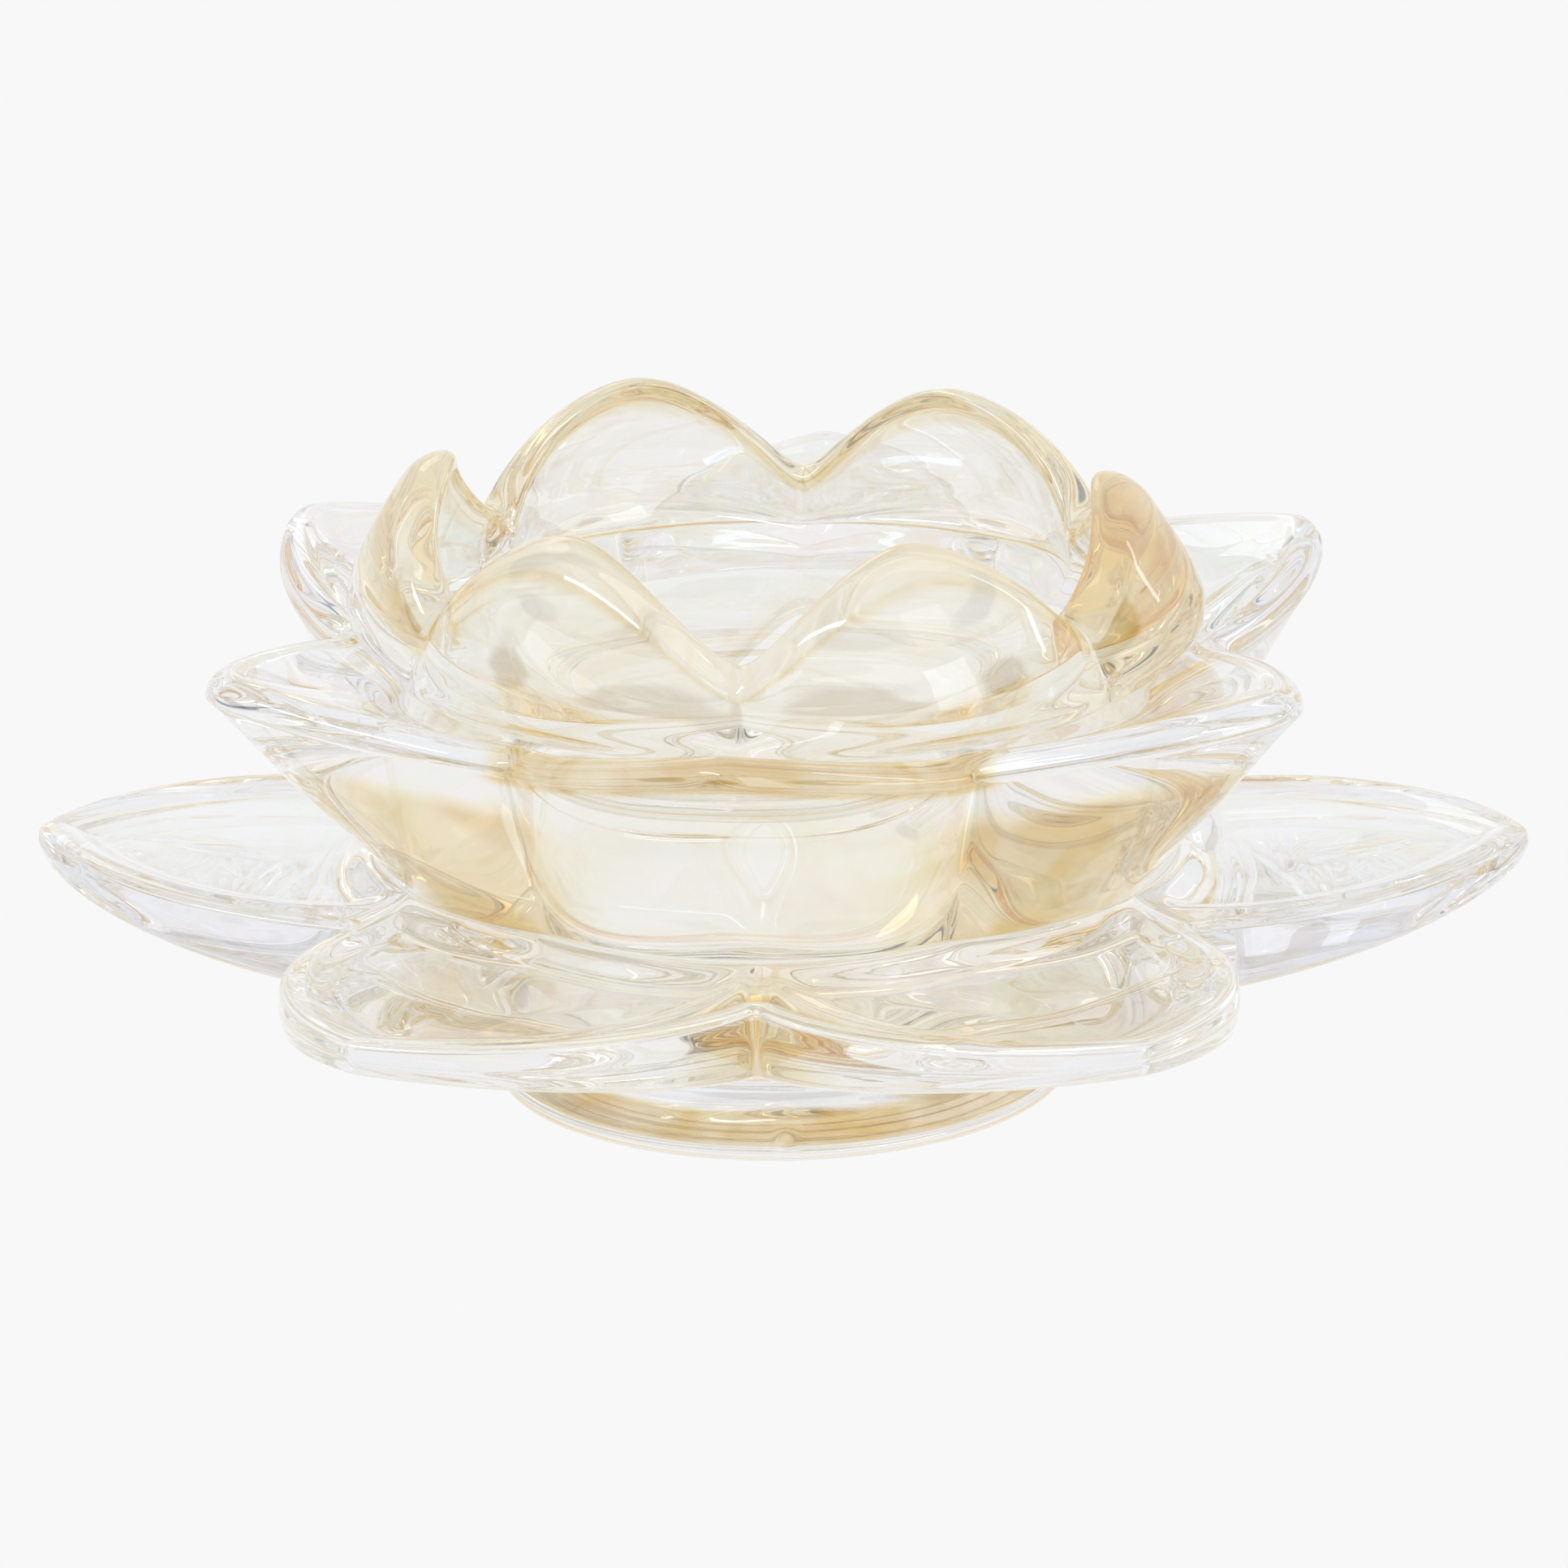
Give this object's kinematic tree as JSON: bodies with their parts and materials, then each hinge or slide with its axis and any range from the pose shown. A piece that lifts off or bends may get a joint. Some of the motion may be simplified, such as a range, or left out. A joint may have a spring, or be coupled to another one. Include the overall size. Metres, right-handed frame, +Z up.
{
  "type": "tealight holder",
  "caption": "Glass tealight holder shaped as an open lotus flower: a round foot, two tiers of spread petals and an inner cup of incurved petals that holds one tealight.",
  "frame": {"origin": "centre of the foot's underside, on the surface that it stands on", "axes": "+Z up along the flower's axis; +X through the tip of one lower petal; +Y midway between two lower petals"},
  "size_m": [0.145, 0.1268, 0.062],
  "materials": {
    "lustre_glass": "polished clear pressed glass with an amber lustre coat",
    "clear_adhesive": "cured clear adhesive film"
  },
  "bodies": {
    "root": {"foot": "lustre_glass", "foot_bond": "clear_adhesive", "lower_petal_tier": "lustre_glass", "middle_bond": "clear_adhesive", "middle_petal_tier": "lustre_glass", "cup_bond": "clear_adhesive", "inner_petal_cup": "lustre_glass"}
  },
  "joints": []
}
